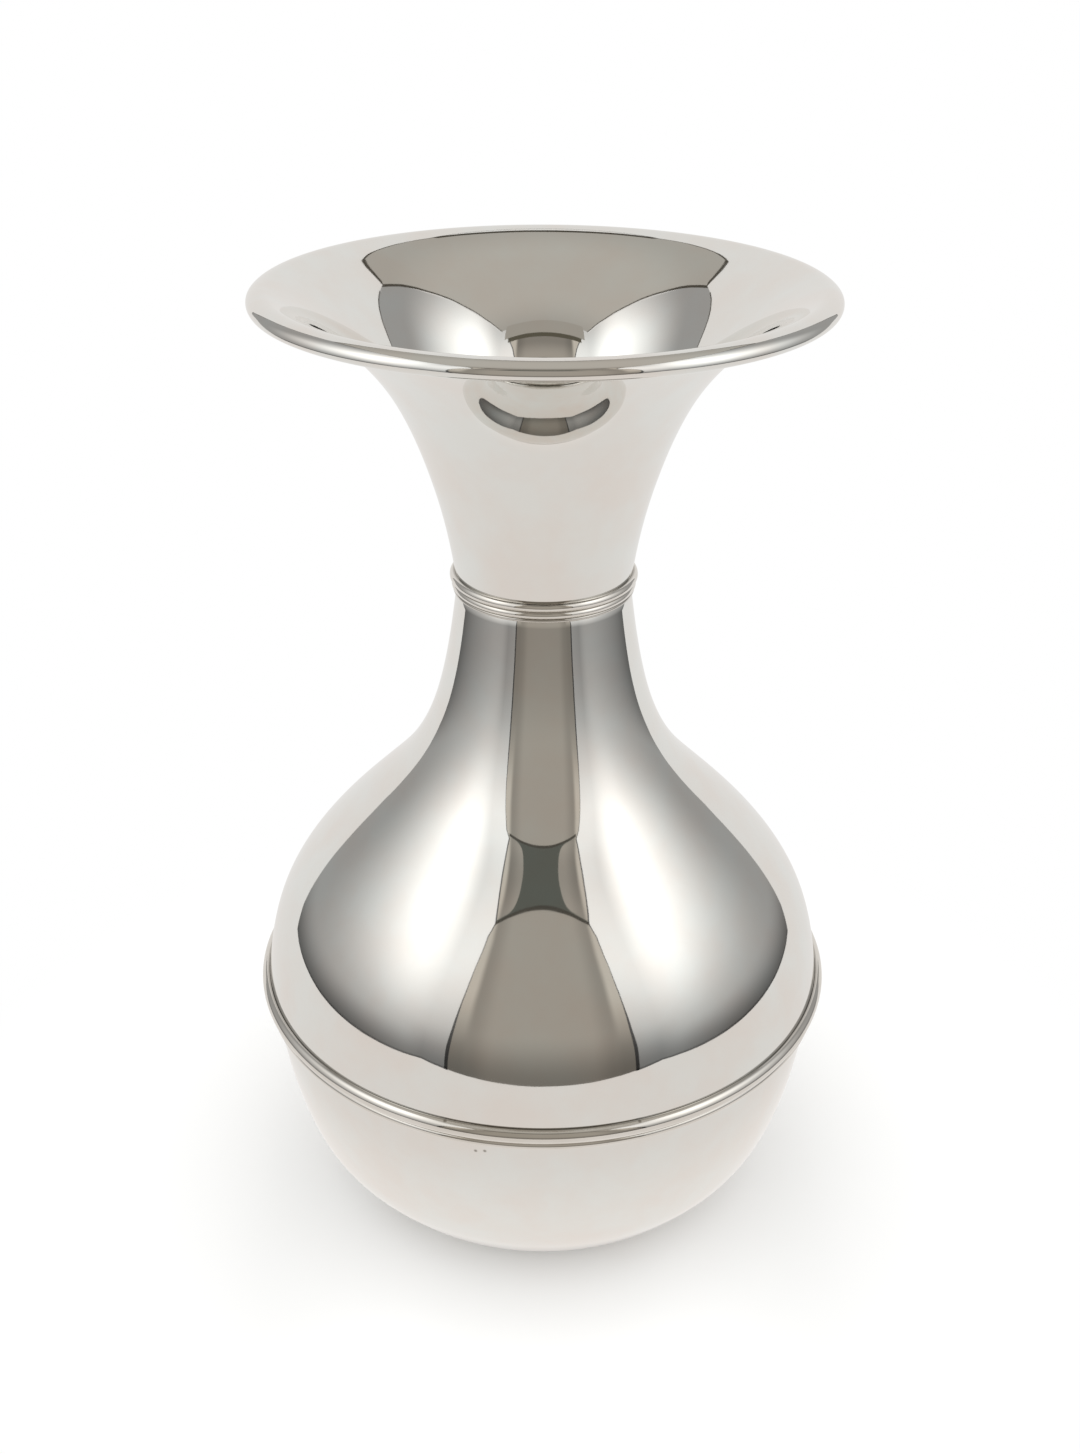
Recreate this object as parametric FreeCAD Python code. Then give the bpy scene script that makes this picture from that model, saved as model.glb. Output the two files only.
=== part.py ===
"""Trumpet vase in polished silver sheet, soldered up from three spun shells and three drawn wires.

A bowl carries an onion-shaped shoulder, and the shoulder's neck carries a trumpet mouth.
Each seam is a lap: one shell's edge stands inside the next, and a moulding covers the step.
Millimetres and degrees. +Z is up, and the origin is the centre of the base, on the table.
"""
import FreeCAD, Part
import math
import os

# Whole vase
vase_height = 254.0
sheet = 0.8
solder_gap = 0.05

# Mouth: the sheet's edge bends over in a crown and is then turned under, round a core wire
mouth_radius = 69.0
core_wire_radius = 0.95
rim_crown_radius = 4.2
rim_slope_deg = 20
rim_run_in = 8.0
rim_crown_deg = 65
rim_curl_deg = 250
flare_foot_radius = 22.45
flare_height_shares = [0, 0.16, 0.36, 0.58, 0.78]
flare_width_shares = [0, 0.038, 0.127, 0.264, 0.463]

# Neck seam: the trumpet's foot sits on a step in the collar, round the neck's spigot
collar_foot_height = 177.35
collar_step_rise = 1.05
neck_inset = 0.25
spigot_lap = 6.0

# Collar: a large reed, a smaller reed and a fillet, which stand out from the trumpet's foot
large_reed_half_height = 1.2
large_reed_stand = 1.25
small_reed_half_height = 0.95
small_reed_stand = 0.8
fillet_reed_half_height = 0.45
fillet_reed_stand = 0.45
reed_root_stand = 0.2

# Shoulder, from the skirt that covers the belly seam to the neck
belly_radius = 76.9
skirt_rise = 1.6
skirt_drop = 1.5
shoulder_height_shares = [0, 0.10, 0.22, 0.38, 0.50, 0.62, 0.80, 1]
shoulder_width_shares = [1, 0.974, 0.904, 0.645, 0.387, 0.164, 0.050, 0]

# Belly band: a half-round wire and a thin fillet below it, stepped at the back over the skirt's edge
band_height = 64.4
band_wire_radius = 2.0
band_fillet_half_height = 1.05
band_fillet_stand = 1.95
band_root_stand = 0.5

# Bowl, which stands on a flat ring round a base that is dished up
bowl_lap = 2.8
base_radius = 42.0
standing_ring_width = 6.0
base_dish = 1.4
bowl_height_shares = [0, 0, 0.20, 0.36, 0.72, 1]
bowl_width_shares = [0, 0.307, 0.612, 0.812, 0.957, 1]
dish_width_shares = [0, 0.70, 0.88, 1]
dish_height_shares = [1, 1, 0, 0]

# Places that follow from the sizes above
spigot_radius = flare_foot_radius - sheet - solder_gap
neck_foot_radius = flare_foot_radius - neck_inset
trumpet_foot_height = collar_foot_height + collar_step_rise
collar_seat_radius = flare_foot_radius + solder_gap
collar_height = 2 * (large_reed_half_height + small_reed_half_height + fillet_reed_half_height)
collar_top_height = collar_foot_height + collar_height
bowl_radius = belly_radius - sheet - solder_gap
skirt_top_height = band_height + skirt_rise
skirt_foot_height = band_height - skirt_drop
band_foot_height = band_height - band_wire_radius - 2 * band_fillet_half_height
rim_curl_radius = core_wire_radius + solder_gap + sheet
crown_start_deg = 90 + rim_slope_deg
curl_start_deg = crown_start_deg - rim_crown_deg


def polar(centre, radius, angle_deg):
    """The place at a radius and an angle round a centre. Places are (radius, height) pairs."""
    angle = math.radians(angle_deg)
    return (centre[0] + radius * math.cos(angle), centre[1] + radius * math.sin(angle))


# Centres of the crown and of the tighter curl, which touches the crown from inside where it starts
curl_offset = polar((0, 0), rim_crown_radius - rim_curl_radius, curl_start_deg)
crown_centre = (mouth_radius - rim_curl_radius - curl_offset[0], vase_height - rim_crown_radius)
curl_centre = (crown_centre[0] + curl_offset[0], crown_centre[1] + curl_offset[1])


def between(start, end, shares):
    """The values at the given shares of the way from start to end."""
    return [start + (end - start) * share for share in shares]


def beside(poles, distance):
    """The poles moved to the left of their run, so that every leg between two poles moves by the distance."""
    legs = [(b[0] - a[0], b[1] - a[1]) for a, b in zip(poles, poles[1:])]
    normals = [(-z / math.hypot(r, z), r / math.hypot(r, z)) for r, z in legs]
    moved = []
    for (r, z), before, after in zip(poles, normals[:1] + normals, normals + normals[-1:]):
        stretch = distance / (1 + before[0] * after[0] + before[1] * after[1])
        moved.append((r + (before[0] + after[0]) * stretch, z + (before[1] + after[1]) * stretch))
    return moved


def point(place):
    """A (radius, height) pair as a point of the X-Z plane."""
    return FreeCAD.Vector(place[0], 0, place[1])


def run_edge(poles):
    """The edge of one run: a line where it has two poles, otherwise a cubic spline drawn by its poles."""
    if len(poles) == 2:
        return Part.makeLine(point(poles[0]), point(poles[1]))
    spline = Part.BSplineCurve()
    spline.buildFromPoles([point(pole) for pole in poles], False, 3)
    return spline.toShape()


def outline_edges(*places):
    """Straight edges from each place to the next."""
    return [run_edge(pair) for pair in zip(places, places[1:])]


def arc_edge(centre, radius, start_deg, turn_deg):
    """A circular arc from a start angle, clockwise for a negative turn."""
    places = [polar(centre, radius, angle) for angle in between(start_deg, start_deg + turn_deg, [0, 0.5, 1])]
    return Part.Arc(*[point(place) for place in places]).toShape()


def bulge_edge(top, bottom, peak_radius):
    """A rounded reed: the arc from top to bottom through its peak, halfway down."""
    peak = (peak_radius, (top[1] + bottom[1]) / 2)
    return Part.Arc(point(top), point(peak), point(bottom)).toShape()


def turn(edges):
    """The solid that a closed outline sweeps in a full turn about the vase's axis."""
    face = Part.Face(Part.Wire(Part.sortEdges(edges)[0]))
    return face.revolve(FreeCAD.Vector(0, 0, 0), FreeCAD.Vector(0, 0, 1), 360)


def sheet_sides(runs):
    """The outer runs of a shell, from its lower end up, and its inner runs, one sheet to their left."""
    chain = runs[0] + [place for run in runs[1:] for place in run[1:]]
    inner_chain = beside(chain, sheet)
    inner_runs, start = [], 0
    for run in runs:
        inner_runs.append(inner_chain[start:start + len(run)])
        start += len(run) - 1
    return runs, inner_runs


def sheet_shell(runs):
    """A spun shell of even thickness, turned from the runs of its outer side."""
    outer, inner = sheet_sides(runs)
    edges = [run_edge(run) for run in outer + inner]
    edges += outline_edges(outer[0][0], inner[0][0]) + outline_edges(outer[-1][-1], inner[-1][-1])
    return turn(edges)


def lower_bowl():
    """Spun bowl: dished base, standing ring, rounded wall and an upright lip inside the shoulder's skirt."""
    ring_inner_radius = base_radius - standing_ring_width
    lip_height = skirt_foot_height + bowl_lap
    dish = list(zip(between(0, ring_inner_radius, dish_width_shares),
                    between(0, base_dish, dish_height_shares)))
    wall = list(zip(between(base_radius, bowl_radius, bowl_width_shares),
                    between(0, band_foot_height, bowl_height_shares)))
    return sheet_shell([dish, [dish[-1], wall[0]], wall, [wall[-1], (bowl_radius, lip_height)]])


def shoulder():
    """Spun upper body: a skirt over the bowl's lip, the onion-shaped wall and a neck drawn in to a spigot."""
    wall = list(zip(between(neck_foot_radius, belly_radius, shoulder_width_shares),
                    between(skirt_top_height, collar_foot_height, shoulder_height_shares)))
    spigot_foot = (spigot_radius, trumpet_foot_height)
    spigot_top = (spigot_radius, trumpet_foot_height + spigot_lap)
    return sheet_shell([[(belly_radius, skirt_foot_height), wall[0]], wall, [wall[-1], spigot_foot],
                        [spigot_foot, spigot_top]])


def trumpet():
    """Spun mouth: a straight foot round the spigot, the flare, a crown and an edge turned round a core wire."""
    under_radius = rim_crown_radius - sheet
    rim_start = polar(crown_centre, under_radius, crown_start_deg)
    run_in = polar(rim_start, rim_run_in, 180 + rim_slope_deg)
    foot = (flare_foot_radius, trumpet_foot_height)
    flare = list(zip(between(flare_foot_radius, rim_start[0], flare_width_shares),
                     between(collar_top_height, rim_start[1], flare_height_shares))) + [run_in, rim_start]
    outer, inner = sheet_sides([[foot, flare[0]], flare])
    inner_curl_radius = core_wire_radius + solder_gap
    cut_deg = curl_start_deg - rim_curl_deg
    edges = [run_edge(run) for run in outer + inner]
    edges += [arc_edge(crown_centre, under_radius, crown_start_deg, -rim_crown_deg),
              arc_edge(crown_centre, rim_crown_radius, crown_start_deg, -rim_crown_deg),
              arc_edge(curl_centre, inner_curl_radius, curl_start_deg, -rim_curl_deg),
              arc_edge(curl_centre, rim_curl_radius, curl_start_deg, -rim_curl_deg)]
    edges += outline_edges(outer[0][0], inner[0][0])
    edges += outline_edges(polar(curl_centre, inner_curl_radius, cut_deg),
                           polar(curl_centre, rim_curl_radius, cut_deg))
    return turn(edges)


def rim_core_wire():
    """Round wire inside the turned edge of the mouth."""
    section = Part.Circle(point(curl_centre), FreeCAD.Vector(0, 1, 0), core_wire_radius)
    return turn([section.toShape()])


def neck_collar():
    """Drawn moulding round the neck seam: three reeds, and a step behind that the trumpet sits on."""
    root_radius = collar_seat_radius + reed_root_stand
    step_radius = neck_foot_radius + solder_gap
    step_height = trumpet_foot_height - solder_gap
    reeds = [(large_reed_half_height, large_reed_stand), (small_reed_half_height, small_reed_stand),
             (fillet_reed_half_height, fillet_reed_stand)]
    top = (root_radius, collar_top_height)
    edges = outline_edges((collar_seat_radius, collar_top_height), top)
    for half_height, stand in reeds:
        bottom = (root_radius, top[1] - 2 * half_height)
        edges.append(bulge_edge(top, bottom, collar_seat_radius + stand))
        top = bottom
    edges += outline_edges(top, (step_radius, collar_foot_height), (step_radius, step_height),
                           (collar_seat_radius, step_height), (collar_seat_radius, collar_top_height))
    return turn(edges)


def belly_band():
    """Drawn moulding round the belly seam: half-round over a fillet, stepped behind for the skirt's edge."""
    seat_radius = belly_radius + solder_gap
    step_radius = bowl_radius + solder_gap
    step_height = skirt_foot_height - solder_gap
    root_radius = step_radius + band_root_stand
    wire_top = (seat_radius, band_height + band_wire_radius)
    wire_foot = (seat_radius, band_height - band_wire_radius)
    fillet_top = (root_radius, wire_foot[1])
    fillet_foot = (root_radius, band_foot_height)
    edges = [bulge_edge(wire_top, wire_foot, seat_radius + band_wire_radius),
             bulge_edge(fillet_top, fillet_foot, step_radius + band_fillet_stand)]
    edges += outline_edges(wire_foot, fillet_top)
    edges += outline_edges(fillet_foot, (step_radius, band_foot_height), (step_radius, step_height),
                           (seat_radius, step_height), wire_top)
    return turn(edges)


os.makedirs("parts", exist_ok=True)
for make_piece in (lower_bowl, shoulder, belly_band, neck_collar, trumpet, rim_core_wire):
    piece = make_piece()
    piece.exportStep("parts/" + make_piece.__name__ + ".step")
    print(make_piece.__name__, piece.ShapeType, piece.isValid(), round(piece.Volume), piece.BoundBox)
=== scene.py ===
import math

import bpy
import numpy as np
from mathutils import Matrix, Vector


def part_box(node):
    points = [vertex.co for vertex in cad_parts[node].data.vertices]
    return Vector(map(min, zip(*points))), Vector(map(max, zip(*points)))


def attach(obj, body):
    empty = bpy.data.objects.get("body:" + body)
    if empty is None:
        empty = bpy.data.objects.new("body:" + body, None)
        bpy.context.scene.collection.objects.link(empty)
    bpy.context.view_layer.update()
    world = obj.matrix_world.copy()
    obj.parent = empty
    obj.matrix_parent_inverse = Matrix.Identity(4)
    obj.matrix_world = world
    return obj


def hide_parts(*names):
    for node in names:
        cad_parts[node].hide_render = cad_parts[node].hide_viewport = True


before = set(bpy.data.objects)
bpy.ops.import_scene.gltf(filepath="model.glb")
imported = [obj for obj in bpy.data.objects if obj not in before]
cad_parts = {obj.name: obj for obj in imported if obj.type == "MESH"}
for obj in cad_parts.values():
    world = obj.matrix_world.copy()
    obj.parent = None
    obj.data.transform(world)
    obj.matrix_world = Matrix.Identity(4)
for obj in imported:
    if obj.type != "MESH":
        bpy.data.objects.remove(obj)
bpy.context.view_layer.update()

# Camera
# It stands close in front of the vase and a little above the mouth, as in the photograph,
# and is turned a trace to the left and rolled a trace, so that the vase stands just right of the middle.
mm = 0.001
long_side_px = 1454
focal_px = 1665.4
camera_place = (0, -390.4 * mm, 343.6 * mm)
camera_down_deg = 27.90
camera_left_deg = 0.20
camera_roll_deg = -0.14
camera = bpy.data.objects.new("camera", bpy.data.cameras.new("camera"))
camera.data.sensor_width = 36
camera.data.lens = camera.data.sensor_width * focal_px / long_side_px
camera.data.clip_start = 10 * mm
camera.location = camera_place
camera_turn_deg = (90 - camera_down_deg, camera_roll_deg, camera_left_deg)
camera.rotation_euler = [math.radians(turn) for turn in camera_turn_deg]
bpy.context.scene.collection.objects.link(camera)
bpy.context.scene.camera = camera

# Lower bowl
# The bottom of the vase: one disc of sterling silver sheet spun over a wooden form into a dished base,
# a flat ring to stand on and a rounded wall, whose upright lip goes up inside the shoulder's skirt.
sheet = 0.8 * mm
base_radius = 42.0 * mm
standing_ring_width = 6.0 * mm
base_dish = 1.4 * mm
dish_width_shares = [0, 0.70, 0.88, 1]
dish_height_shares = [1, 1, 0, 0]
bowl_width_shares = [0, 0.307, 0.612, 0.812, 0.957, 1]
bowl_height_shares = [0, 0, 0.20, 0.36, 0.72, 1]
bowl_radius, lip_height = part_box("lower_bowl")[1].x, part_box("lower_bowl")[1].z
band_wire_radius = 2.0 * mm
band_fillet_half_height = 1.05 * mm
band_foot_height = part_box("belly_band")[1].z - 2 * band_wire_radius - 2 * band_fillet_half_height
turn_steps = 240
sharp_corner_deg = 40


def between(start, end, shares):
    """The values at the given shares of the way from start to end."""
    return start + (end - start) * np.array(shares, float)


def beside(poles, distance):
    """The poles moved to the left of their run, by the distance square to every leg between two poles."""
    leg = np.diff(poles, axis=0)
    normal = np.stack([-leg[:, 1], leg[:, 0]], 1) / np.linalg.norm(leg, axis=1)[:, None]
    before, after = np.vstack([normal[:1], normal]), np.vstack([normal, normal[-1:]])
    return poles + (before + after) * (distance / (1 + (before * after).sum(1)))[:, None]


def drawn_curve(poles, count):
    """Places on the cubic spline that the poles draw: each place is the sum of the poles times their share
    there, and the shares are cubic blends over even knots, which are repeated at both ends."""
    legs = len(poles) - 3
    knots = np.concatenate([np.zeros(3), np.linspace(0, 1, legs + 1), np.ones(3)])
    way = np.linspace(0, 1, count)
    span = np.minimum(np.floor(way * legs).astype(int), legs - 1) + 3
    blend = (np.arange(len(knots) - 1) == span[:, None]).astype(float)
    for degree in (1, 2, 3):
        width_before = knots[degree:-1] - knots[:-degree - 1]
        width_after = knots[degree + 1:] - knots[1:-degree]
        rising = (way[:, None] - knots[:-degree - 1]) / np.where(width_before > 0, width_before, 1)
        falling = (knots[degree + 1:] - way[:, None]) / np.where(width_after > 0, width_after, 1)
        blend = rising * (width_before > 0) * blend[:, :-1] + falling * (width_after > 0) * blend[:, 1:]
    return blend @ poles


def run_places(poles, count):
    """Places along one run of an outline: a spline drawn by its poles, or the straight leg between two."""
    return drawn_curve(poles, count) if len(poles) > 2 else poles


def sheet_outline(runs, counts):
    """Both sides of a spun sheet, as (radius, height) places along its runs. The inner side lies to the left
    of the outer one, by the sheet's thickness."""
    runs = [np.array(run, float) for run in runs]
    chain = np.vstack([runs[0]] + [run[1:] for run in runs[1:]])
    inner_chain = beside(chain, sheet)
    ends = np.cumsum([0] + [len(run) - 1 for run in runs])
    inner_runs = [inner_chain[start:end + 1] for start, end in zip(ends, ends[1:])]
    outer = [run_places(run, count)[:-1] for run, count in zip(runs, counts)]
    inner = [run_places(run, count)[:-1] for run, count in zip(inner_runs, counts)]
    return np.vstack(outer + [chain[-1:]]), np.vstack(inner + [inner_chain[-1:]])


def turned_piece(name, outline, from_axis=False):
    """Mesh of a turned piece. Each (radius, height) place of its outline sweeps a ring about the axis:
    x = radius * cos(turn), y = radius * sin(turn), z = height. The metal is on the left of the outline,
    which closes on itself, or else starts and ends on the axis, where a whole ring is one place."""
    radius, height = np.array(outline, float).T
    turn = np.arange(turn_steps) * (2 * np.pi / turn_steps)
    rings = np.stack([np.outer(radius, np.cos(turn)), np.outer(radius, np.sin(turn)),
                      np.repeat(height[:, None], turn_steps, 1)], -1)
    places, index = rings.reshape(-1, 3), np.arange(rings[..., 0].size).reshape(rings.shape[:2])
    if from_axis:
        places = places[turn_steps - 1:-turn_steps + 1]
        index = np.clip(index - turn_steps + 1, 0, len(places) - 1)
    lower, upper = (index[:-1], index[1:]) if from_axis else (index, np.roll(index, -1, 0))
    corners = np.stack([lower, np.roll(lower, -1, 1), np.roll(upper, -1, 1), upper], -1).reshape(-1, 4)
    mesh = bpy.data.meshes.new(name)
    mesh.from_pydata(places.tolist(), [], [list(dict.fromkeys(face)) for face in corners.tolist()])
    mesh.shade_smooth()
    mesh.set_sharp_from_angle(angle=math.radians(sharp_corner_deg))
    piece = bpy.data.objects.new(name, mesh)
    bpy.context.scene.collection.objects.link(piece)
    return piece


def linear(hex_colour):
    """An sRGB hex colour as linear red, green, blue and alpha."""
    share = np.array([int(hex_colour[i:i + 2], 16) for i in (1, 3, 5)]) / 255
    return (*np.where(share <= 0.04045, share / 12.92, ((share + 0.055) / 1.055) ** 2.4), 1)


def add_node(tree, kind, inputs=None, **settings):
    """Adds a node. The settings are its properties. An input is given by its socket's name or number, as a
    value or as the socket that it is linked to."""
    made = tree.nodes.new("ShaderNode" + kind)
    for name, value in settings.items():
        setattr(made, name, value)
    for socket, value in (inputs or {}).items():
        if isinstance(value, bpy.types.NodeSocket):
            tree.links.new(value, made.inputs[socket])
        else:
            made.inputs[socket].default_value = value
    return made


def product(tree, *factors):
    """The factors, sockets or numbers, multiplied together."""
    result = factors[0]
    for factor in factors[1:]:
        result = add_node(tree, "Math", {0: result, 1: factor}, operation="MULTIPLY").outputs[0]
    return result


def ramp(tree, value, start, end, low, high):
    """A value that eases from low to high while the given one goes from start to end."""
    return add_node(tree, "MapRange", {"Value": value, "From Min": start, "From Max": end, "To Min": low,
                                       "To Max": high}, interpolation_type="SMOOTHSTEP").outputs[0]


def new_material(name):
    """An empty material and its node tree."""
    material = bpy.data.materials.new(name)
    material.use_nodes = True
    material.node_tree.nodes.clear()
    return material, material.node_tree


def silver(name, colour, tint, roughness, dark_crease_radius=0, pits=()):
    """Sterling silver, spun or drawn and then polished by hand with a buff: a near white metal whose mirror
    is a trace warmer in patches and rippled by the tool. Small pits keep a dark tarnished colour. A moulding
    is darkened with that colour closer to the vase's axis than its crowns, as painted crease shade that
    partly stands for tarnishing there."""
    patch_size, haze_size, ripple_size = 18.2 * mm, 11.1 * mm, 13.3 * mm
    haziest = 1.8 * roughness
    ripple_depth, ripple_strength = 0.03 * mm, 0.6
    dark_crease_fade, dark_crease_shine = 0.45 * mm, 0.5
    pit_radius, pit_fade, pit_shine = 0.15 * mm, 0.5 * mm, 0.3
    material, tree = new_material(name)
    place = add_node(tree, "TexCoord").outputs["Object"]
    patches = add_node(tree, "TexNoise", {"Vector": place, "Scale": 1 / patch_size, "Detail": 3,
                                         "Roughness": 0.6})
    tone = add_node(tree, "MapRange", {"Value": patches.outputs["Fac"], "From Min": 0.35, "From Max": 0.65})
    metal = add_node(tree, "Mix", {0: tone.outputs[0], 6: linear(colour), 7: linear(tint)}, data_type="RGBA")
    across = add_node(tree, "VectorMath", {0: place, 1: (1, 1, 0)}, operation="MULTIPLY")
    radius = add_node(tree, "VectorMath", {0: across.outputs[0]}, operation="LENGTH").outputs["Value"]
    buffed_and_unshaded = []
    # Painted crease shade, partly tarnishing: a moulding turns dark closer to the axis than the crease
    # radius.
    if dark_crease_radius:
        buffed_and_unshaded.append(ramp(tree, radius, dark_crease_radius, dark_crease_radius + dark_crease_fade, dark_crease_shine, 1))
    for pit in pits:
        away = add_node(tree, "VectorMath", {0: place, 1: pit}, operation="DISTANCE").outputs["Value"]
        buffed_and_unshaded.append(ramp(tree, away, pit_radius, pit_radius + pit_fade, pit_shine, 1))
    if buffed_and_unshaded:
        metal = add_node(tree, "Mix", {0: product(tree, *buffed_and_unshaded), 6: linear(tarnish_and_crease_shade), 7: metal.outputs[2]},
                         data_type="RGBA")
    haze = add_node(tree, "TexNoise", {"Vector": place, "Scale": 1 / haze_size, "Detail": 4})
    dull = add_node(tree, "MapRange", {"Value": haze.outputs["Fac"], "From Min": 0.3, "From Max": 0.75,
                                       "To Min": roughness, "To Max": haziest})
    ripple = add_node(tree, "TexNoise", {"Vector": place, "Scale": 1 / ripple_size, "Detail": 2})
    wave = add_node(tree, "Bump", {"Height": ripple.outputs["Fac"], "Strength": ripple_strength,
                                   "Distance": ripple_depth})
    shader = add_node(tree, "BsdfPrincipled", {"Base Color": metal.outputs[2], "Metallic": 1,
                                               "Roughness": dull.outputs[0], "Normal": wave.outputs[0]})
    add_node(tree, "OutputMaterial", {"Surface": shader.outputs[0]})
    return material


def finished(piece, material, slot, *nodes):
    """Gives a piece its material, puts it on the vase's body and lets it stand for its CAD nodes. The slot is
    not used.
    """
    piece.data.materials.append(material)
    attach(piece, "root")
    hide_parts(*nodes)


# Dark colour of tarnishing in pits, also used as painted crease shade in the creases of the mouldings.
tarnish_and_crease_shade = "#6E675C"
mirror_roughness = 0.025
silver_white, silver_warm = "#EAEBE8", "#EAE6E1"
bowl_pits = [(-16.4 * mm, -73.9 * mm, 56.8 * mm), (-14.1 * mm, -74.4 * mm, 57.2 * mm)]
bowl_silver = silver("spun_and_buffed_silver_bowl", silver_white, silver_warm, mirror_roughness,
                     pits=bowl_pits)

ring_inner_radius = base_radius - standing_ring_width
dish = np.stack([between(0, ring_inner_radius, dish_width_shares),
                 between(0, base_dish, dish_height_shares)], 1)
bowl_wall = np.stack([between(base_radius, bowl_radius, bowl_width_shares),
                      between(0, band_foot_height, bowl_height_shares)], 1)
bowl_lip = [bowl_wall[-1], (bowl_radius, lip_height)]
outer, inner = sheet_outline([dish, [dish[-1], bowl_wall[0]], bowl_wall, bowl_lip], [24, 2, 110, 2])
lower_bowl = turned_piece("spun_bowl", np.vstack([outer, inner[::-1]]), from_axis=True)
finished(lower_bowl, bowl_silver, "polished_silver", "lower_bowl")

# Shoulder
# The onion-shaped upper body, spun in silver sheet and then drawn in on a sectional form to make the neck.
# Its skirt slips over the bowl's lip, and its neck ends in a spigot that goes up inside the trumpet's foot.
polished_silver = silver("spun_and_buffed_sterling_silver", silver_white, silver_warm, mirror_roughness)
neck_inset = 0.25 * mm
solder_gap = 0.05 * mm
shoulder_width_shares = [1, 0.974, 0.904, 0.645, 0.387, 0.164, 0.050, 0]
shoulder_height_shares = [0, 0.10, 0.22, 0.38, 0.50, 0.62, 0.80, 1]
skirt_rise = 1.6 * mm
skirt_drop = 1.5 * mm
belly_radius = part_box("shoulder")[1].x
skirt_foot_height, spigot_top_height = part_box("shoulder")[0].z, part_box("shoulder")[1].z
skirt_top_height = skirt_foot_height + skirt_drop + skirt_rise
collar_foot_height, collar_top_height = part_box("neck_collar")[0].z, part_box("neck_collar")[1].z
trumpet_foot_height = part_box("trumpet")[0].z
flare_foot_radius = 22.45 * mm
neck_foot_radius = flare_foot_radius - neck_inset
spigot_radius = flare_foot_radius - sheet - solder_gap

shoulder_wall = np.stack([between(neck_foot_radius, belly_radius, shoulder_width_shares),
                          between(skirt_top_height, collar_foot_height, shoulder_height_shares)], 1)
skirt = [(belly_radius, skirt_foot_height), shoulder_wall[0]]
spigot = [(spigot_radius, trumpet_foot_height), (spigot_radius, spigot_top_height)]
outer, inner = sheet_outline([skirt, shoulder_wall, [shoulder_wall[-1], spigot[0]], spigot], [2, 190, 2, 2])
shoulder = turned_piece("spun_shoulder", np.vstack([outer, inner[::-1]]))
finished(shoulder, polished_silver, "polished_silver", "shoulder")

# Belly band
# A half-round wire over a thin fillet, drawn as one strip of silver, bent round the belly and soldered over
# the seam. A step behind it covers the skirt's edge. Its root is darker than its crown, with painted crease
# shade that partly stands for tarnishing.
wire_white, wire_warm = "#E9E6E1", "#E0DCD5"
moulding_roughness = 0.04
band_fillet_stand = 1.95 * mm
band_root_stand = 0.5 * mm
band_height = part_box("belly_band")[1].z - band_wire_radius


def bulge(top, bottom, peak_radius, count):
    """A rounded reed: places down the arc from top to bottom through its peak, which stands halfway down.
    The arc's centre is on the level of the peak, where its distance to the top and to the peak are equal."""
    half = (top[1] - bottom[1]) / 2
    stand = peak_radius - top[0]
    radius = (half ** 2 + stand ** 2) / (2 * stand)
    spread = math.atan2(half, radius - stand)
    angle = np.linspace(spread, -spread, count)
    return np.stack([peak_radius - radius + radius * np.cos(angle),
                     bottom[1] + half + radius * np.sin(angle)], 1)


seat_radius = belly_radius + solder_gap
step_radius = bowl_radius + solder_gap
root_radius = step_radius + band_root_stand
step_height = skirt_foot_height - solder_gap
wire_top = (seat_radius, band_height + band_wire_radius)
wire_foot = (seat_radius, band_height - band_wire_radius)
fillet_top, fillet_foot = (root_radius, wire_foot[1]), (root_radius, band_foot_height)
band_back = [(step_radius, band_foot_height), (step_radius, step_height), (seat_radius, step_height)]
band_outline = np.vstack([bulge(wire_top, wire_foot, seat_radius + band_wire_radius, 41),
                          bulge(fillet_top, fillet_foot, step_radius + band_fillet_stand, 17), band_back])
belly_band = turned_piece("half_round_belly_band", band_outline[::-1])
band_pits = [(-23.8 * mm, -73.8 * mm, 66.3 * mm), (24.1 * mm, -73.7 * mm, 66.3 * mm)]
# Painted crease shade, partly tarnishing, on the band's root within this radius.
band_dark_crease_radius = seat_radius + 0.2 * mm
band_silver = silver("drawn_and_buffed_silver_band", wire_white, wire_warm, moulding_roughness,
                     band_dark_crease_radius, band_pits)
finished(belly_band, band_silver, "moulding_silver", "belly_band")

# Neck collar
# A drawn strip of three reeds, a large one, a smaller one and a thin fillet, soldered round the neck seam.
# The trumpet's foot stands on a step behind it, so the collar hides both edges of the sheet.
reed_root_stand = 0.2 * mm
reeds = [(1.2 * mm, 1.25 * mm), (0.95 * mm, 0.8 * mm), (0.45 * mm, 0.45 * mm)]
collar_seat_radius = flare_foot_radius + solder_gap
collar_root_radius = collar_seat_radius + reed_root_stand
collar_step_radius = neck_foot_radius + solder_gap
collar_step_height = trumpet_foot_height - solder_gap
top = (collar_root_radius, collar_top_height)
collar_runs = [[(collar_seat_radius, collar_top_height)]]
for reed_half_height, reed_stand in reeds:
    bottom = (collar_root_radius, top[1] - 2 * reed_half_height)
    collar_runs.append(bulge(top, bottom, collar_seat_radius + reed_stand, 25))
    top = bottom
collar_runs.append([(collar_step_radius, collar_foot_height), (collar_step_radius, collar_step_height),
                    (collar_seat_radius, collar_step_height)])
neck_collar = turned_piece("reeded_neck_collar", np.vstack(collar_runs)[::-1])
# Painted crease shade, partly tarnishing: the reeds' roots and the creases between them are darkened.
collar_silver = silver("drawn_and_buffed_silver_reeds", wire_white, wire_warm, moulding_roughness,
                       collar_root_radius)
finished(neck_collar, collar_silver, "moulding_silver", "neck_collar")

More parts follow.
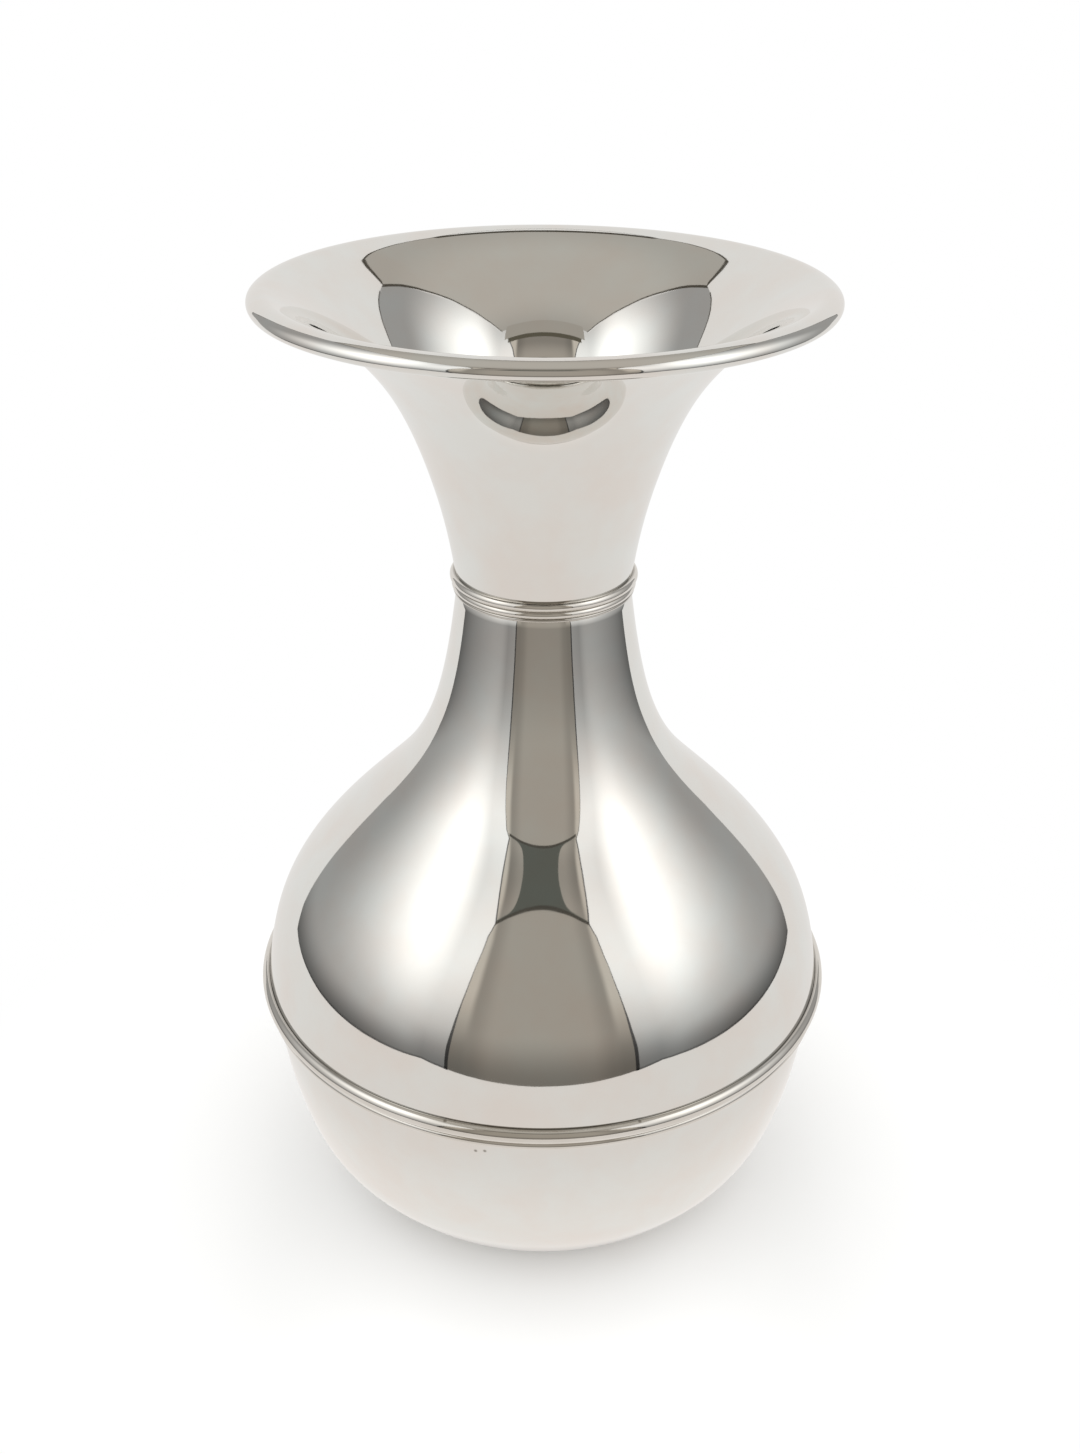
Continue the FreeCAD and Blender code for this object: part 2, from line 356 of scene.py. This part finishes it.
# Trumpet
# The flared mouth, spun in silver sheet. Its foot goes over the neck's spigot, and its edge is wired: the
# sheet bends over in a low crown and is then turned down and under round a core wire, as a thin rolled rim.
rim_slope_deg = 20
rim_run_in = 8.0 * mm
rim_crown_radius = 4.2 * mm
rim_crown_deg = 65
rim_curl_deg = 250
flare_height_shares = [0, 0.16, 0.36, 0.58, 0.78]
flare_width_shares = [0, 0.038, 0.127, 0.264, 0.463]


def polar(centre, radius, angle_deg):
    """Places at a radius and at angles round a centre, in (radius, height)."""
    angle = np.radians(angle_deg)
    return np.stack([centre[0] + radius * np.cos(angle), centre[1] + radius * np.sin(angle)], -1)


core_wire_radius = (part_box("rim_core_wire")[1].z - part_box("rim_core_wire")[0].z) / 2
inner_curl_radius = core_wire_radius + solder_gap
outer_curl_radius = inner_curl_radius + sheet
crown_start_deg = 90 + rim_slope_deg
curl_start_deg = crown_start_deg - rim_crown_deg
mouth_corner = np.array([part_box("trumpet")[1].x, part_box("trumpet")[1].z])
curl_offset = polar((0, 0), rim_crown_radius - outer_curl_radius, curl_start_deg)
crown_centre = mouth_corner - (outer_curl_radius + curl_offset[0], rim_crown_radius)
curl_centre = crown_centre + curl_offset
crown_deg = np.linspace(crown_start_deg, curl_start_deg, 25)[:-1]
curl_deg = np.linspace(curl_start_deg, curl_start_deg - rim_curl_deg, 49)

rim_start = polar(crown_centre, rim_crown_radius - sheet, crown_start_deg)
run_in = polar(rim_start, rim_run_in, 180 + rim_slope_deg)
flare = np.stack([between(flare_foot_radius, rim_start[0], flare_width_shares),
                  between(collar_top_height, rim_start[1], flare_height_shares)], 1)
flare = np.vstack([flare, run_in, rim_start])
outer, inner = sheet_outline([[(flare_foot_radius, trumpet_foot_height), flare[0]], flare], [2, 120])
under_side = np.vstack([outer[:-1], polar(crown_centre, rim_crown_radius - sheet, crown_deg),
                        polar(curl_centre, inner_curl_radius, curl_deg)])
upper_side = np.vstack([inner[:-1], polar(crown_centre, rim_crown_radius, crown_deg),
                        polar(curl_centre, outer_curl_radius, curl_deg)])
trumpet = turned_piece("wired_trumpet_mouth", np.vstack([under_side, upper_side[::-1]]))
finished(trumpet, polished_silver, "polished_silver", "trumpet")

# Core wire of the rim
# A round silver wire, drawn and bent to a ring, that the mouth's edge is turned round. The curl hides it all
# round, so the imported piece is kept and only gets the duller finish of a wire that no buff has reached.
drawn_roughness = 0.07
core_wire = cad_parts["rim_core_wire"]
core_wire.data.materials.clear()
core_wire.data.materials.append(silver("drawn_silver_wire", wire_white, wire_warm, drawn_roughness))

# Table and studio
# The vase stands on a seamless white sheet, between two white cloths with a lamp behind each, under a grey
# ceiling. The cloths leave an opening in front. All but the level sheet is seen by the metal alone, so it
# hides nothing from a camera. Places in this section are in millimetres, made metres where they are used.
cloth_peak, cloth_dim = 1.8, 0.34
front_y, front_corner_x = -415, 388
back_y, back_corner_x = 660, 572
front_cloth_height, ceiling_height = 1044, 1098
bright_white = "#EBE9E7"


def place_axes(tree):
    """The x, y and z of a place in the object's own coordinates."""
    return add_node(tree, "SeparateXYZ", {0: add_node(tree, "TexCoord").outputs["Object"]}).outputs[:3]


def for_rays(tree, *kinds):
    """1 for the named kinds of ray, and 0 for every other kind."""
    path = add_node(tree, "LightPath")
    seen = path.outputs[kinds[0]]
    for kind in kinds[1:]:
        seen = add_node(tree, "Math", {0: seen, 1: path.outputs[kind]}, operation="MAXIMUM").outputs[0]
    return seen


def send_light(tree, colour, level=1):
    """Ends a material with light of its own: the colour times the level."""
    light = add_node(tree, "Emission", {"Color": linear(colour), "Strength": level})
    add_node(tree, "OutputMaterial", {"Surface": light.outputs[0]})


def glowing(name, colour):
    """A plain surface that sends out its own even light."""
    material, tree = new_material(name)
    send_light(tree, colour)
    return material


def white_sheet():
    """Matt white card. A camera sees it shaded near the vase, where it carries the shadow, a trace greyer on
    both sides of the vase, where a shadow is painted, and plain white further out. For the metal it glows, a
    trace greyer, with painted shading that makes it warm and darker in front and cooler behind, a painted
    shadow under the vase and a painted brighter ring round the vase's foot."""
    material, tree = new_material("matt_white_card")
    place = add_node(tree, "TexCoord").outputs["Object"]
    across, depth = add_node(tree, "SeparateXYZ", {0: place}).outputs[:2]
    beside_vase = add_node(tree, "Math", {0: across}, operation="ABSOLUTE").outputs[0]
    away = add_node(tree, "VectorMath", {0: place}, operation="LENGTH").outputs["Value"]
    # Painted shadow: the card is a trace greyer on both sides of the vase, from 30 to 80 mm out to the side.
    shade = add_node(tree, "Mix", {0: ramp(tree, beside_vase, 30 * mm, 80 * mm, 0, 1),
                                   6: linear("#F6F6F5"), 7: linear("#E8E8E7")}, data_type="RGBA")
    card = add_node(tree, "BsdfDiffuse", {"Color": shade.outputs[2]})
    white = add_node(tree, "Emission", {"Color": (1, 1, 1, 1)})
    far = product(tree, for_rays(tree, "Is Camera Ray", "Is Transmission Ray"),
                  ramp(tree, away, 80 * mm, 190 * mm, 0, 1))
    plain = add_node(tree, "MixShader", {0: far, 1: card.outputs[0], 2: white.outputs[0]})
    # Painted for the metal: warm, darker shade in front, a shadow under the vase and a brighter ring round
    # it.
    tone = add_node(tree, "Mix", {0: ramp(tree, depth, -300 * mm, 250 * mm, 0, 1),
                                  6: linear("#E6E1DD"), 7: linear(bright_white)}, data_type="RGBA")
    level = product(tree, ramp(tree, away, 46 * mm, 60 * mm, 0.5, 1),
                    ramp(tree, away, 70 * mm, 120 * mm, 1.12, 1))
    mirrored = add_node(tree, "Emission", {"Color": tone.outputs[2], "Strength": level})
    mixed = add_node(tree, "MixShader", {0: for_rays(tree, "Is Glossy Ray"), 1: plain.outputs[0],
                                         2: mirrored.outputs[0]})
    add_node(tree, "OutputMaterial", {"Surface": mixed.outputs[0]})
    return material


def lamp_cloth(name, share=1):
    """White cloth with a lamp behind it. The glow is the lamp's peak times two easing curves along y and two
    up z, and the foot is in shadow. A share below 1 is a rolled hem, which lets less light through."""
    lamp_lean = 0.17
    material, tree = new_material(name)
    across, along_y, height = place_axes(tree)
    depth = add_node(tree, "Math", {0: height, 1: -lamp_lean, 2: along_y},
                     operation="MULTIPLY_ADD").outputs[0]
    glow = product(tree, ramp(tree, depth, -537 * mm, -238 * mm, 0.42, 1),
                   ramp(tree, depth, -485 * mm, 270 * mm, 1, 0),
                   ramp(tree, height, -10 * mm, 530 * mm, 0, 1),
                   ramp(tree, height, 621 * mm, 1061 * mm, 1, 0.51))
    level = add_node(tree, "MapRange", {"Value": glow, "To Min": cloth_dim, "To Max": cloth_peak})
    foot_level = ramp(tree, depth, -450 * mm, -50 * mm, 0.65, 0.3)
    corner_level = ramp(tree, depth, -480 * mm, -330 * mm, 0.72, 1)
    foot = product(tree, ramp(tree, height, -20 * mm, 130 * mm, foot_level, 1.05),
                   ramp(tree, height, 5 * mm, 11 * mm, 0.6, 1),
                   ramp(tree, height, 70 * mm, 200 * mm, corner_level, 1))
    send_light(tree, "#FFFEFC", product(tree, level.outputs[0], foot, share))
    return material


def opening_board():
    """What the metal sees through the opening: taupe, darker towards the table, the sides and the top bar,
    and turning to a cream strip next to the cloths."""
    material, tree = new_material("taupe_opening")
    across, depth, height = place_axes(tree)
    side = add_node(tree, "Math", {0: across}, operation="ABSOLUTE").outputs[0]
    middle = product(tree, ramp(tree, side, 130 * mm, 205 * mm, 1, 0.8),
                     ramp(tree, height, 640 * mm, 800 * mm, 1, 0.66))
    strip = ramp(tree, height, 100 * mm, 380 * mm, 0.75, 1.5)
    level = product(tree, ramp(tree, height, 0, 200 * mm, 0.5, 1),
                    ramp(tree, side, 205 * mm, 235 * mm, middle, strip))
    send_light(tree, "#A8A299", level)
    return material


def grey_ceiling():
    """Plain grey ceiling, brighter over the vase than towards the front and the back."""
    material, tree = new_material("grey_ceiling")
    depth = place_axes(tree)[1]
    send_light(tree, "#B8B4AD", product(tree, ramp(tree, depth, -600 * mm, -150 * mm, 0.78, 1.06),
                                        ramp(tree, depth, 150 * mm, 620 * mm, 1, 0.86)))
    return material


def edge_places(x, y, z):
    """The places along an edge. A coordinate that is the same at all of them is given once."""
    return np.stack(np.broadcast_arrays(x, y, z), 1)


def stage_surface(name, edge, other_edge, material, for_metal_only=True):
    """A surface of the studio, ruled from each place of one edge to the same place of the other."""
    count = len(edge)
    mesh = bpy.data.meshes.new(name)
    mesh.from_pydata((np.vstack([edge, other_edge]) * mm).tolist(), [],
                     [(i, i + 1, count + i + 1, count + i) for i in range(count - 1)])
    mesh.materials.append(material)
    surface = bpy.data.objects.new(name, mesh)
    bpy.context.scene.collection.objects.link(surface)
    if for_metal_only:
        surface.visible_camera = False
        surface.visible_diffuse = False
        surface.visible_shadow = False


def level_square(name, half_size, z, material, for_metal_only=True):
    """A level square of the studio, centred over the vase."""
    ends = (-half_size, half_size)
    stage_surface(name, edge_places(ends, -half_size, z), edge_places(ends, half_size, z), material,
                  for_metal_only)


level_square("table", 7000, 0, white_sheet(), for_metal_only=False)
level_square("ceiling", 2500, ceiling_height, grey_ceiling())

# Behind the vase the metal sees the sheet bend up to a backdrop. Its top edge is scalloped, given as
# (x, z) places from the middle to the right, and hemmed
# The dark colour serves the hems, the beam and corner lines, and the painted shadow line at the cloths' tops.
bright_card, dark_trim_and_painted_shadow_line = glowing("bright_card", bright_white), glowing("dark_trim_and_painted_shadow_line", "#4E4A43")
bend_start_y = 250
bend = np.radians(np.linspace(0, 90, 25))
bend_y = bend_start_y + (back_y - bend_start_y) * np.sin(bend)
bend_z = (back_y - bend_start_y) * (1 - np.cos(bend))
stage_surface("backdrop_bend", edge_places(-back_corner_x, bend_y, bend_z),
              edge_places(back_corner_x, bend_y, bend_z), bright_card)
gap_half_width = 131
scallop = np.array([(gap_half_width, ceiling_height), (160, 1020), (206, 948), (253, 925), (351, 977),
                    (430, 1022), (525, 1076), (back_corner_x, ceiling_height)])
top_x, top_z = np.vstack([scallop[::-1] * (-1, 1), scallop]).T
hem_half_height = 12
hem_foot = edge_places(top_x, back_y, top_z - hem_half_height)
stage_surface("backdrop", edge_places(top_x, back_y, bend_z[-1]), hem_foot, bright_card)
stage_surface("backdrop_hem", hem_foot, edge_places(top_x, back_y, top_z + hem_half_height), dark_trim_and_painted_shadow_line)

# Under the ceiling, a dark beam curves back at both ends, with a bright gap behind it
beam_z, gap_back_y = ceiling_height - 4, back_y + 60
beam_x = np.linspace(-gap_half_width, gap_half_width, 15)
beam_middle_y, beam_bow, beam_width = 550, 75, 55
beam_front_y = beam_middle_y + beam_bow * (beam_x / gap_half_width) ** 2
beam_back_y = beam_front_y + beam_width
stage_surface("ceiling_beam", edge_places(beam_x, beam_front_y, beam_z),
              edge_places(beam_x, beam_back_y, beam_z), dark_trim_and_painted_shadow_line)
stage_surface("ceiling_gap", edge_places(beam_x, beam_back_y, beam_z),
              edge_places(beam_x, gap_back_y, beam_z), bright_card)

# The cloths run from the front corners to the back ones. At each y they have a bright foot up to a height,
# a top, and below the top a painted shadow line over a painted highlight along the lip, given by their widths
lit_cloth, shaded_hem = lamp_cloth("lit_cloth"), lamp_cloth("shaded_hem", 0.15)
cloth_run = [(front_y, 0, front_cloth_height, 14, 14), (-200, 0, 1044, 14, 14), (0, 0, 1040, 14, 14),
             (250, 4, 1051, 19, 9), (305, 48, 1062, 23, 6), (340, 98, 1069, 26, 4), (386, 160, 1078, 29, 1),
             (428, 220, 1086, 32, 0), (480, 240, 1094, 34, 0), (back_y, 245, 1098, 40, 0)]
cloth_y, cloth_foot, cloth_top, line_width, lip_width = np.array(cloth_run).T
cloth_x = np.interp(cloth_y, [front_y, back_y], [front_corner_x, back_corner_x])
cloth_heights = [0, cloth_foot, cloth_top - line_width - lip_width, cloth_top - line_width, cloth_top]
cloth_parts = [("cloth_foot", bright_card), ("cloth", lit_cloth), ("cloth_painted_highlight_lip", bright_card),
               ("cloth_top", dark_trim_and_painted_shadow_line)]
# In front they turn in to the opening, whose edge is given by its height, place and hem's width
opening_edge = [(0, 266, 14), (100, 265, 14), (200, 261, 10), (300, 260, 5), (450, 254, 3), (570, 240, 5),
                (620, 218, 8), (660, 228, 8), (735, 245, 8), (850, 285, 9), (954, 335, 9),
                (front_cloth_height, 335, 9)]
edge_z, edge_x, hem_width = np.array(opening_edge).T
corner_line_width, corner_line_height, corner_line_y = 12, 1000, back_y - 5
for side, side_name in ((-1, "left_"), (1, "right_")):
    for (part, material), low, high in zip(cloth_parts, cloth_heights, cloth_heights[1:]):
        stage_surface(side_name + part, edge_places(side * cloth_x, cloth_y, low),
                      edge_places(side * cloth_x, cloth_y, high), material)
    corner_line_x = side * np.array([back_corner_x - corner_line_width, back_corner_x])
    stage_surface(side_name + "backdrop_side", edge_places(corner_line_x, corner_line_y, 0),
                  edge_places(corner_line_x, corner_line_y, corner_line_height), dark_trim_and_painted_shadow_line)
    hem_edge = edge_places(side * (edge_x + hem_width), front_y, edge_z)
    stage_surface(side_name + "hem", edge_places(side * edge_x, front_y, edge_z), hem_edge, shaded_hem)
    flap_edge = edge_places(side * front_corner_x, front_y, edge_z)
    stage_surface(side_name + "flap", hem_edge, flap_edge, lit_cloth)

# Across the opening stand a board behind it, an arched bar with a dark board on it, a top bar and a lintel.
# The dark board is full height in its middle and falls off towards its ends in a curve
opening_x, opening_y = (-345, 345), front_y - 10
stage_surface("opening", edge_places(opening_x, opening_y, 0),
              edge_places(opening_x, opening_y, front_cloth_height), opening_board())
bar_y, bar_half_thickness = -262, 5
arch_height, arch_half_span, arch_drop = 420, 134, 15.3
bar_x = np.linspace(-arch_half_span, arch_half_span, 41)
bar_z = arch_height - arch_drop * (bar_x / arch_half_span) ** 2
stage_surface("arch_bar", edge_places(bar_x, bar_y, bar_z - bar_half_thickness),
              edge_places(bar_x, bar_y, bar_z + bar_half_thickness), glowing("dark_bar", "#4C4943"))
board_y, board_height, board_edge_height = -260, 60, 2
board_middle_x, board_half_width, board_fall_width = -8, 112, 56
inside = board_half_width - np.abs(bar_x - board_middle_x)
board_z = bar_z + board_edge_height + board_height * np.clip(inside / board_fall_width, 0, 1) ** 4
stage_surface("dark_board", edge_places(bar_x, board_y, bar_z), edge_places(bar_x, board_y, board_z),
              glowing("dark_board", "#5E605A"))
top_bar_x, top_bar_y, top_bar_foot = (-300, 300), front_y + 5, 822
lintel_x, lintel_y, lintel_foot = (-340, 340), front_y + 4, 880
stage_surface("top_bar", edge_places(top_bar_x, top_bar_y, top_bar_foot),
              edge_places(top_bar_x, top_bar_y, lintel_foot), glowing("dark_top_bar", "#5D594D"))
stage_surface("lintel", edge_places(lintel_x, lintel_y, lintel_foot),
              edge_places(lintel_x, lintel_y, ceiling_height), glowing("taupe_lintel", "#A6A199"))

# The room's light: soft from all round on the sheet, and plain white where a camera or the metal sees it
room_level = 1.5
world = bpy.data.worlds.new("white_room")
bpy.context.scene.world = world
world.use_nodes = True
world_tree = world.node_tree
world_tree.nodes.clear()
seen = for_rays(world_tree, "Is Camera Ray", "Is Glossy Ray", "Is Transmission Ray")
strength = add_node(world_tree, "MapRange", {"Value": seen, "To Min": room_level, "To Max": 1})
backlight = add_node(world_tree, "Background", {"Color": (1, 1, 1, 1), "Strength": strength.outputs[0]})
add_node(world_tree, "OutputWorld", {"Surface": backlight.outputs[0]})
bpy.context.scene.view_settings.view_transform = "Standard"
